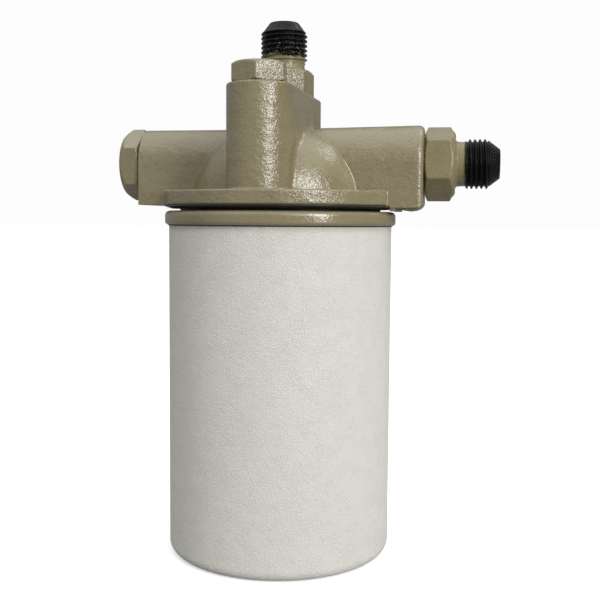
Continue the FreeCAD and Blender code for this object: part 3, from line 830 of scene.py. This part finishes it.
def painted_metal(name, lumps=0.6, peel_scale=FINE_PEEL, depth_share=1.0, bare_axis=None, line=0.0,
                  ragged=0.8 * MM):
    """Glossy khaki paint; past a masking line along an axis the metal is black."""
    paint = bpy.context.scene.filter_paint
    material, tree, shader = new_material(name)
    film = group_node(tree, "Paint film", Peel_scale=peel_scale, Cast_lumps=lumps)
    edge = group_node(tree, "Soft edge", Radius=paint.edge)
    colour = blend_colour(tree, film.outputs["Thin"], paint.lit, paint.worn)
    # Painted highlight: the paint is made lighter along its rounded edges.
    edge_highlight_tone = [min(1.0, part * 1.25) for part in paint.lit[:3]] + [1.0]
    colour = blend_colour(tree, scaled(tree, edge.outputs["Edge"], 0.5), colour, edge_highlight_tone)
    roughness = film.outputs["Roughness"]
    shader.inputs["Specular IOR Level"].default_value = 1.0
    if bare_axis:
        mask = group_node(tree, "Masking line", Along=axis_value(tree, bare_axis), Line=line, Ragged=ragged)
        black = blend_colour(tree, mask.outputs["Dust"], THREAD_BLACK, SPRAY_DUST)
        colour = blend_colour(tree, mask.outputs["Bare"], colour, black)
        roughness = maths(tree, "ADD", roughness, scaled(tree, mask.outputs["Bare"], 0.06))
        covered = maths(tree, "SUBTRACT", 1.0, mask.outputs["Bare"])
        tree.links.new(scaled(tree, covered, 0.5), shader.inputs["Coat Weight"])
        shader.inputs["Coat Roughness"].default_value = 0.12
        shader.inputs["Specular IOR Level"].default_value = 0.15
    tree.links.new(colour, shader.inputs["Base Color"])
    tree.links.new(roughness, shader.inputs["Roughness"])
    bump(tree, shader, film.outputs["Height"], paint.peel * depth_share, edge.outputs["Normal"])
    return material


def can_finish():
    """Light grey crinkle paint, with painted shade just under the bead and in the crinkle's creases."""
    can = bpy.context.scene.filter_can
    material, tree, shader = new_material("Can grey crinkle")
    skin = group_node(tree, "Fine crinkle", Scale=1500.0)
    patchy = blend_colour(tree, scaled(tree, skin.outputs["Patch"], 0.12), can.tone, can.shade)
    # Painted shade: the crinkle's creases are darkened towards the shade colour.
    colour = blend_colour(tree, scaled(tree, skin.outputs["Crease"], 0.75), patchy, can.shade)
    # Painted shade: the can is darkened just under the bead, where the bead shades it.
    shade_start = BEAD_BOTTOM - 2.4 * MM
    under_bead = spread(tree, axis_value(tree, "Z"), shade_start, BEAD_BOTTOM + 0.2 * MM, 0.0, 0.3)
    painted_bead_shade = scaled(tree, under_bead, maths(tree, "ADD", skin.outputs["Height"], 0.25))
    colour = blend_colour(tree, maths(tree, "MINIMUM", painted_bead_shade, 1.0), colour, BEAD_SHADE_TONE)
    tree.links.new(colour, shader.inputs["Base Color"])
    tree.links.new(spread(tree, skin.outputs["Patch"], 0.0, 1.0, 0.42, 0.5), shader.inputs["Roughness"])
    shader.inputs["Diffuse Roughness"].default_value = 0.4
    shader.inputs["Sheen Weight"].default_value = 0.06
    shader.inputs["Sheen Roughness"].default_value = 0.5
    bump(tree, shader, skin.outputs["Height"], can.crinkle)
    return material


def black_rubber_and_shadow():
    """Dull moulded rubber; the seam under the bead also uses it as a painted shadow."""
    material, tree, shader = new_material("Black rubber and painted shadow")
    film = group_node(tree, "Paint film", Peel_scale=1400.0, Cast_lumps=0.3)
    colour = blend_colour(tree, film.outputs["Thin"], *RUBBER)
    tree.links.new(colour, shader.inputs["Base Color"])
    tree.links.new(spread(tree, film.outputs["Thin"], 0.0, 1.0, 0.45, 0.65), shader.inputs["Roughness"])
    shader.inputs["Specular IOR Level"].default_value = 0.25
    bump(tree, shader, film.outputs["Height"], 0.02 * MM)
    return material


def metal(name, tones, metallic=1.0):
    """Turned or pressed metal, stained in patches from its first tone to its second."""
    material, tree, shader = new_material(name)
    skin = group_node(tree, "Turned metal", Marks=6000.0)
    edge = group_node(tree, "Soft edge", Radius=0.15 * MM)
    colour = blend_colour(tree, skin.outputs["Stain"], *tones)
    tree.links.new(colour, shader.inputs["Base Color"])
    tree.links.new(skin.outputs["Roughness"], shader.inputs["Roughness"])
    shader.inputs["Metallic"].default_value = metallic
    bump(tree, shader, skin.outputs["Height"], 0.01 * MM, edge.outputs["Normal"])
    return material


def pleated_paper():
    """Resin treated filter paper."""
    material, tree, shader = new_material("Filter paper")
    skin = group_node(tree, "Fine crinkle", Scale=2600.0)
    colour = blend_colour(tree, skin.outputs["Patch"], *PAPER)
    tree.links.new(colour, shader.inputs["Base Color"])
    tree.links.new(spread(tree, skin.outputs["Crease"], 0.0, 1.0, 0.7, 0.85), shader.inputs["Roughness"])
    bump(tree, shader, skin.outputs["Height"], 0.03 * MM)
    return material


def finish_node(node, material):
    """Put a material on a solid that stays as it is."""
    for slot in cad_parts[node].material_slots:
        slot.material = material


def paint_below(piece, material, height):
    """Give the faces below a height a material of their own."""
    piece.data.materials.append(material)
    for face in piece.data.polygons:
        if face.center.z < height:
            face.material_index = 1


def finish_piece(piece, material, body, slot, *nodes):
    """Put a material on a new piece, and say what it rides on and replaces; the slot is not used."""
    piece.data.materials.append(material)
    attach(piece, body)
    if nodes:
        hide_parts(*nodes)


# Operators

class FilterHeadCasting(bpy.types.Operator):
    """Paint the cast head"""

    bl_idname = "filter.head_casting"
    bl_label = "Head Casting"

    def execute(self, context):
        finish_node("filter_head", painted_metal("Head paint", lumps=1.0))
        return {"FINISHED"}


class FilterPaintSag(bpy.types.Operator):
    """Add the drip of paint that hangs under the right boss"""

    bl_idname = "filter.paint_sag"
    bl_label = "Paint Sag"

    def execute(self, context):
        place = Vector((39.3 * MM, 0.0, BOSS_UNDERSIDE))
        half_length = 3.1 * MM
        half_width = 2.2 * MM
        half_height = 0.9 * MM
        shape = bmesh.new()
        bmesh.ops.create_icosphere(shape, subdivisions=4, radius=1.0)
        for point in shape.verts:
            swell = 1.0 + 0.16 * noise.noise(point.co * 1.7)
            taper = 1.0 - 0.25 * max(0.0, point.co.x)
            run = Vector((point.co.x * half_length, point.co.y * half_width * taper,
                          point.co.z * half_height * taper))
            point.co = run * swell + place
        piece = new_piece("paint_sag", shape)
        paint = painted_metal("Sagged paint", lumps=0.3, peel_scale=COARSE_PEEL, depth_share=0.6)
        finish_piece(piece, paint, "head", "head_paint")
        return {"FINISHED"}


class FilterTopAdapter(bpy.types.Operator):
    """Build the flare adapter that stands on the tall boss"""

    bl_idname = "filter.top_adapter"
    bl_label = "Top Adapter"

    def execute(self, context):
        threads = context.scene.filter_thread
        flats = 16.5 * MM
        stud_radius = 7.1 * MM
        ring_groove = 6.0 * MM
        groove_end = BOSS_TOP - 2.05 * MM
        hex_top = BOSS_TOP + 9.0 * MM
        neck_top = hex_top + 2.0 * MM
        thread_top = TOP_TIP - 2.5 * MM
        corner = math.radians(-40.0)
        drop = bevel_drop(flats)
        lathe = Lathe(hexagon_angles(corner))
        stud = [
            (FLARE_BORE, TOP_STUD_END, 0),
            (stud_radius - 0.75 * MM, TOP_STUD_END, 0.15 * MM),
            (stud_radius, TOP_STUD_END + 0.75 * MM, 0.15 * MM),
            (stud_radius, groove_end, 0.1 * MM),
            (ring_groove, groove_end, 0.1 * MM),
            (ring_groove, BOSS_TOP, 0.1 * MM),
        ]
        lathe.run(outline(stud, 1.2 * MM))
        head = hexagon_run(flats, BOSS_TOP, hex_top, drop / 2.0, drop, ring_groove + 0.1 * MM, NECK_FOOT)
        lathe.run(outline(head, 0.3 * MM), hexagon_limit(flats, corner))
        flare_end(lathe, threads, hex_top, neck_top, thread_top, TOP_TIP, TOP_STUD_END, math.radians(200.0))
        piece = lathe.finish("top_flare_adapter", upright(TOP_AXIS))
        paint = painted_metal("Top adapter paint", bare_axis="Z", line=neck_top + 2.0 * MM)
        finish_piece(piece, paint, "head", "fitting_paint", "top_port_adapter")
        paint_below(piece, painted_metal("Top hex paint", depth_share=1.8), neck_top - 0.4 * MM)
        return {"FINISHED"}


class FilterSideAdapter(bpy.types.Operator):
    """Build the flare adapter in the right port"""

    bl_idname = "filter.side_adapter"
    bl_label = "Side Adapter"

    def execute(self, context):
        threads = context.scene.filter_thread
        flats = 18.85 * MM
        hex_start = RIGHT_BOSS_FACE + 0.3 * MM
        hex_end = RIGHT_BOSS_FACE + 8.9 * MM
        neck_end = hex_end + 2.4 * MM
        thread_end = SIDE_TIP - 2.8 * MM
        corner = math.radians(-125.3)
        outer = flats / math.sqrt(3.0) + PAST_CORNER
        lathe = Lathe(hexagon_angles(corner))
        lathe.run(outline(taper_spindle(FLARE_BORE, SIDE_INNER_END, RIGHT_BOSS_FACE, hex_start), 1.2 * MM))
        head = [
            (TAPER_RADIUS + 0.1 * MM, hex_start, 0),
            (flats / 2.0 - FACE_INSET, hex_start, FACE_ROUNDING),
            (outer, hex_start + 0.85 * MM, 0),
            (outer, hex_end - 1.75 * MM, 0),
            (9.75 * MM, hex_end - 1.0 * MM, 0.8 * MM),
            (9.0 * MM, hex_end - 0.3 * MM, 0.5 * MM),
            (8.3 * MM, hex_end, 0.3 * MM),
            (NECK_FOOT, hex_end, 0),
        ]
        lathe.run(outline(head, 0.3 * MM), hexagon_limit(flats, corner))
        flare_end(lathe, threads, hex_end, neck_end, thread_end, SIDE_TIP, SIDE_INNER_END,
                  math.radians(40.0))
        piece = lathe.finish("side_flare_adapter", on_side_port(90.0))
        paint = painted_metal("Side adapter paint", bare_axis="X", line=neck_end + 0.1 * MM,
                              ragged=0.2 * MM)
        finish_piece(piece, paint, "head", "fitting_paint", "right_port_adapter")
        return {"FINISHED"}


class FilterSidePlug(bpy.types.Operator):
    """Build the hex plug in the left port"""

    bl_idname = "filter.side_plug"
    bl_label = "Side Plug"

    def execute(self, context):
        flats = 18.8 * MM
        hex_start = LEFT_BOSS_FACE + 0.35 * MM
        corner = math.radians(-65.0)
        face_drop = 1.8 * MM
        lathe = Lathe(hexagon_angles(corner))
        lathe.run(outline(taper_spindle(0.0, PLUG_INNER_END, LEFT_BOSS_FACE, hex_start), 1.2 * MM))
        head = hexagon_run(flats, hex_start, PLUG_FACE, bevel_drop(flats) / 2.0, face_drop,
                           TAPER_RADIUS + 0.1 * MM, 0.0)
        lathe.run(outline(head, 0.3 * MM), hexagon_limit(flats, corner))
        piece = lathe.finish("side_hex_plug", on_side_port(-90.0))
        finish_piece(piece, painted_metal("Side plug paint"), "head", "fitting_paint", "left_port_plug")
        return {"FINISHED"}


class FilterReliefPlug(bpy.types.Operator):
    """Build the low hex plug over the bypass valve"""

    bl_idname = "filter.relief_plug"
    bl_label = "Bypass Plug"

    def execute(self, context):
        flats = 14.3 * MM
        corner = math.radians(-85.1)
        drop = bevel_drop(flats)
        guide = 1.85 * MM
        guide_top = RELIEF_STUD_END + 10.0 * MM
        stud_radius = 5.5 * MM
        ring_groove = 4.5 * MM
        groove_end = BOSS_TOP - 1.85 * MM
        lathe = Lathe(hexagon_angles(corner))
        stud = [
            (0.0, guide_top, 0),
            (guide, guide_top, 0.1 * MM),
            (guide, RELIEF_STUD_END, 0.1 * MM),
            (stud_radius, RELIEF_STUD_END, 0.25 * MM),
            (stud_radius, groove_end, 0.1 * MM),
            (ring_groove, groove_end, 0.1 * MM),
            (ring_groove, BOSS_TOP, 0.1 * MM),
        ]
        lathe.run(outline(stud, 1.0 * MM))
        head = hexagon_run(flats, BOSS_TOP, RELIEF_TOP, drop / 2.0, drop, ring_groove + 0.1 * MM, 0.0)
        limit = hexagon_limit(flats, corner, rounding=0.45 * MM, softness=0.4 * MM)
        lathe.run(outline(head, 0.3 * MM), limit)
        piece = lathe.finish("bypass_hex_plug", upright(RELIEF_AXIS))
        paint = painted_metal("Bypass plug paint", depth_share=1.3)
        finish_piece(piece, paint, "head", "fitting_paint", "bypass_plug")
        return {"FINISHED"}


class FilterMountingStud(bpy.types.Operator):
    """Cut the thread on the hollow stud that carries the cartridge"""

    bl_idname = "filter.mounting_stud"
    bl_label = "Mounting Stud"

    def execute(self, context):
        threads = context.scene.filter_thread
        crest = high("threaded_nipple").x
        root = crest - 0.9 * MM
        bore = 6.5 * MM
        lathe = Lathe(even_angles(RING_PARTS // 2))
        lathe.run(outline([(bore, STUD_BOTTOM, 0), (root, STUD_BOTTOM, 0)], 1.0 * MM))
        lathe.thread(STUD_BOTTOM, STUD_TOP, root, crest, threads.stud_pitch, 0.0)
        lathe.run(outline([(root, STUD_TOP, 0), (bore, STUD_TOP, 0), (bore, STUD_BOTTOM, 0)], 1.5 * MM)[1:])
        piece = lathe.finish("mounting_stud", Matrix.Identity(4))
        finish_piece(piece, metal("Stud steel", STUD_STEEL), "head", "plated_steel", "threaded_nipple")
        return {"FINISHED"}


class FilterGasketSeat(bpy.types.Operator):
    """Add the low tapered seat round the gasket, under the flange"""

    bl_idname = "filter.gasket_seat"
    bl_label = "Gasket Seat"

    def execute(self, context):
        inner = high("sealing_gasket").x + 0.2 * MM
        foot = 32.4 * MM
        outer = 34.4 * MM
        top = FLANGE_BOTTOM - 0.02 * MM
        seat = FLANGE_BOTTOM - 1.0 * MM
        lathe = Lathe(even_angles(RING_PARTS))
        profile = [
            (inner, top, 0),
            (inner, seat, 0.15 * MM),
            (foot, seat, 0.3 * MM),
            (outer, FLANGE_BOTTOM - 0.4 * MM, 0.2 * MM),
            (outer, top, 0),
            (inner, top, 0),
        ]
        lathe.run(outline(profile, 0.6 * MM))
        piece = lathe.finish("gasket_seat", Matrix.Identity(4))
        # Near black partly as bare casting and partly as painted shade under the flange.
        finish_piece(piece, metal("Bare casting and painted shade", BARE_CASTING_AND_SHADE, metallic=0.0), "head", "head_paint")
        return {"FINISHED"}


class FilterSeamLine(bpy.types.Operator):
    """Add the dark ring of painted shadow in the groove under the rolled bead"""

    bl_idname = "filter.seam_line"
    bl_label = "Seam Line"

    def execute(self, context):
        wall = high("canister_shell").x + 0.02 * MM
        lathe = Lathe(even_angles(RING_PARTS))
        profile = [
            (wall, BEAD_BOTTOM - 0.3 * MM, 0),
            (wall + 0.28 * MM, BEAD_BOTTOM - 0.12 * MM, 0.1 * MM),
            (wall + 0.48 * MM, BEAD_BOTTOM + 0.12 * MM, 0.1 * MM),
            (wall, BEAD_BOTTOM + 0.2 * MM, 0),
            (wall, BEAD_BOTTOM - 0.3 * MM, 0),
        ]
        lathe.run(outline(profile, 0.3 * MM))
        piece = lathe.finish("seam_line", Matrix.Identity(4))
        # Painted shadow: a black ring where the groove under the bead lies in shade.
        finish_piece(piece, black_rubber_and_shadow(), "cartridge", "can_paint")
        return {"FINISHED"}


class FilterCreaseFillets(bpy.types.Operator):
    """Fill the casting's creases with a small radius of metal and paint"""

    bl_idname = "filter.crease_fillets"
    bl_label = "Crease Fillets"

    def execute(self, context):
        radius = 0.55 * MM
        shape = bmesh.new()
        normals = []
        for chain in crease_chains(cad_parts["filter_head"].data):
            sweep_fillet(shape, chain, radius, normals)
        piece = new_piece("crease_fillets", shape)
        piece.data.normals_split_custom_set_from_vertices(normals)
        paint = painted_metal("Crease paint", lumps=0.5, depth_share=0.4)
        finish_piece(piece, paint, "head", "head_paint")
        return {"FINISHED"}


class FilterCanister(bpy.types.Operator):
    """Finish the can, its rolled bead and the gasket"""

    bl_idname = "filter.canister"
    bl_label = "Canister"

    def execute(self, context):
        finish_node("canister_shell", can_finish())
        bead = painted_metal("Bead paint", lumps=0.35, peel_scale=COARSE_PEEL, depth_share=0.5)
        finish_node("seaming_lid", bead)
        finish_node("sealing_gasket", black_rubber_and_shadow())
        return {"FINISHED"}


class FilterInnerParts(bpy.types.Operator):
    """Finish what is inside the head and the cartridge"""

    bl_idname = "filter.inner_parts"
    bl_label = "Inner Parts"

    def execute(self, context):
        finishes = (
            (black_rubber_and_shadow(), ("top_adapter_o_ring", "bypass_plug_o_ring", "element_grommet")),
            (metal("Zinc plated sheet", ZINC),
             ("base_plate", "upper_end_cap", "lower_end_cap", "centre_tube")),
            (metal("Drawn spring wire", SPRING_WIRE), ("bypass_spring", "element_spring")),
            (metal("Turned brass", BRASS), ("bypass_poppet",)),
            (pleated_paper(), ("pleated_media",)),
        )
        for material, nodes in finishes:
            for node in nodes:
                finish_node(node, material)
        return {"FINISHED"}


def softbox(name, place, target, width, height, power):
    """An oval soft light that faces a target."""
    lamp = bpy.data.lights.new(name, "AREA")
    lamp.shape = "ELLIPSE"
    lamp.size = width
    lamp.size_y = height
    lamp.energy = power
    holder = bpy.data.objects.new(name, lamp)
    holder.location = place
    holder.rotation_euler = (Vector(target) - Vector(place)).to_track_quat("-Z", "Y").to_euler()
    bpy.context.scene.collection.objects.link(holder)


def around(azimuth, elevation, distance):
    """A place round the object; azimuth 0 is in front of it, on -Y."""
    turn = math.radians(azimuth)
    rise = math.radians(elevation)
    level = math.cos(rise)
    return Vector((math.sin(turn) * level, -math.cos(turn) * level, math.sin(rise))) * distance


def glow_from(tree, towards, strength):
    """Broad soft light in the surroundings, strongest in one direction; returns its output."""
    facing = add(tree, "ShaderNodeVectorMath", operation="DOT_PRODUCT")
    tree.links.new(add(tree, "ShaderNodeTexCoord").outputs["Generated"], facing.inputs[0])
    facing.inputs[1].default_value = towards
    share = maths(tree, "ADD", scaled(tree, facing.outputs["Value"], 0.5), 0.5)
    return scaled(tree, maths(tree, "POWER", share, 1.6), strength)


class FilterStudio(bpy.types.Operator):
    """Set up the pale floor, the soft lights and the camera"""

    bl_idname = "filter.studio"
    bl_label = "Studio"

    def execute(self, context):
        stage = context.scene.filter_stage
        self.floor(stage)
        self.lights(context, stage)
        self.camera(context, stage)
        return {"FINISHED"}

    def floor(self, stage):
        """A wide round floor, which gives back less light than it shows."""
        shape = bmesh.new()
        bmesh.ops.create_circle(shape, cap_ends=True, segments=96, radius=12.0)
        floor = new_piece("studio_floor", shape)
        material, tree, shader = new_material("Pale floor")
        seen = add(tree, "ShaderNodeLightPath").outputs["Is Camera Ray"]
        pale = (stage.floor_tone, stage.floor_tone, stage.floor_tone, 1.0)
        dim = (0.28, 0.28, 0.28, 1.0)
        tree.links.new(blend_colour(tree, seen, dim, pale), shader.inputs["Base Color"])
        shader.inputs["Roughness"].default_value = 0.9
        shader.inputs["Specular IOR Level"].default_value = 0.1
        shader.inputs["Emission Color"].default_value = WHITE
        tree.links.new(scaled(tree, seen, stage.glow), shader.inputs["Emission Strength"])
        floor.data.materials.append(material)

    def lights(self, context, stage):
        """Even light from all round, more of it from some sides, and three softboxes."""
        world = bpy.data.worlds.new("Studio")
        world.use_nodes = True
        tree = world.node_tree
        split = add(tree, "ShaderNodeSeparateXYZ")
        tree.links.new(add(tree, "ShaderNodeTexCoord").outputs["Generated"], split.inputs[0])
        fill = maths(tree, "ADD", stage.low_fill,
                     spread(tree, split.outputs["Z"], 0.5, 0.95, 0.0, stage.high_fill))
        glows = (
            (-18.0, 25.0, stage.front_fill),
            (-80.0, 15.0, stage.left_fill),
            (180.0, 35.0, stage.back_fill),
        )
        for azimuth, elevation, amount in glows:
            fill = maths(tree, "ADD", fill, glow_from(tree, around(azimuth, elevation, 1.0), amount))
        seen = add(tree, "ShaderNodeLightPath").outputs["Is Camera Ray"]
        unseen = scaled(tree, maths(tree, "SUBTRACT", 1.0, seen), fill)
        strength = maths(tree, "ADD", unseen, scaled(tree, seen, stage.backdrop))
        tree.links.new(strength, tree.nodes["Background"].inputs["Strength"])
        tree.nodes["Background"].inputs["Color"].default_value = WHITE
        context.scene.world = world
        middle = Vector((0.0, 0.0, 0.1))
        softbox("key_softbox", middle + around(50.0, 20.0, 1.3), middle, 0.45, 1.0, stage.key)
        softbox("skirt_softbox", middle + around(30.0, 22.0, 1.5), middle, 0.8, 0.8, stage.skirt)
        softbox("spot_softbox", middle + around(135.0, 48.0, 1.4), middle, 0.3, 0.3, stage.spot)
        context.scene.view_settings.view_transform = "Standard"

    def camera(self, context, stage):
        """Place, aim and roll the camera as the picture was taken."""
        distance = 276.41 * MM
        bearing = math.radians(10.813)
        height = 99.288 * MM
        pan = math.radians(1.242)
        tilt = math.radians(4.403)
        roll = math.radians(0.403)
        place = Vector((distance * math.sin(bearing), -distance * math.cos(bearing), height))
        up = Vector((0.0, 0.0, 1.0))
        right = Vector((math.cos(bearing), math.sin(bearing), 0.0))
        ahead = Vector((-math.sin(bearing), math.cos(bearing), 0.0))
        facing = ahead * math.cos(pan) + right * math.sin(pan)
        side = right * math.cos(pan) - ahead * math.sin(pan)
        looking = facing * math.cos(tilt) - up * math.sin(tilt)
        upward = up * math.cos(tilt) + facing * math.sin(tilt)
        rolled_side = side * math.cos(roll) + upward * math.sin(roll)
        rolled_up = upward * math.cos(roll) - side * math.sin(roll)
        lens = bpy.data.cameras.new("camera")
        lens.lens = stage.lens
        lens.sensor_width = 36.0
        lens.clip_start = 0.01
        lens.shift_y = -0.01602
        camera = bpy.data.objects.new("camera", lens)
        turn = Matrix((rolled_side, rolled_up, -looking)).transposed().to_4x4()
        camera.matrix_world = Matrix.Translation(place) @ turn
        context.scene.collection.objects.link(camera)
        context.scene.camera = camera


class FilterPanel(bpy.types.Panel):
    """The settings of the filter, and its steps in order"""

    bl_idname = "VIEW3D_PT_filter"
    bl_label = "Hydraulic Filter"
    bl_space_type = "VIEW_3D"
    bl_region_type = "UI"
    bl_category = "Filter"

    def draw(self, context):
        for name, kind in SETTINGS.items():
            for setting in kind.__annotations__:
                self.layout.prop(getattr(context.scene, name), setting)
        for step in STEPS:
            self.layout.operator(step.bl_idname)


SETTINGS = {
    "filter_paint": FilterPaintSettings,
    "filter_can": FilterCanSettings,
    "filter_thread": FilterThreadSettings,
    "filter_stage": FilterStageSettings,
}

STEPS = (
    FilterHeadCasting,
    FilterPaintSag,
    FilterGasketSeat,
    FilterCreaseFillets,
    FilterTopAdapter,
    FilterSideAdapter,
    FilterSidePlug,
    FilterReliefPlug,
    FilterMountingStud,
    FilterCanister,
    FilterSeamLine,
    FilterInnerParts,
    FilterStudio,
)


def register():
    for name, kind in SETTINGS.items():
        bpy.utils.register_class(kind)
        setattr(bpy.types.Scene, name, bpy.props.PointerProperty(type=kind))
    for step in STEPS:
        bpy.utils.register_class(step)
    bpy.utils.register_class(FilterPanel)


def unregister():
    bpy.utils.unregister_class(FilterPanel)
    for step in reversed(STEPS):
        bpy.utils.unregister_class(step)
    for name, kind in SETTINGS.items():
        delattr(bpy.types.Scene, name)
        bpy.utils.unregister_class(kind)


def main():
    register()
    bpy.ops.filter.head_casting()
    bpy.ops.filter.paint_sag()
    bpy.ops.filter.gasket_seat()
    bpy.ops.filter.crease_fillets()
    bpy.ops.filter.top_adapter()
    bpy.ops.filter.side_adapter()
    bpy.ops.filter.side_plug()
    bpy.ops.filter.relief_plug()
    bpy.ops.filter.mounting_stud()
    bpy.ops.filter.canister()
    bpy.ops.filter.seam_line()
    bpy.ops.filter.inner_parts()
    bpy.ops.filter.studio()


if __name__ == "__main__":
    main()
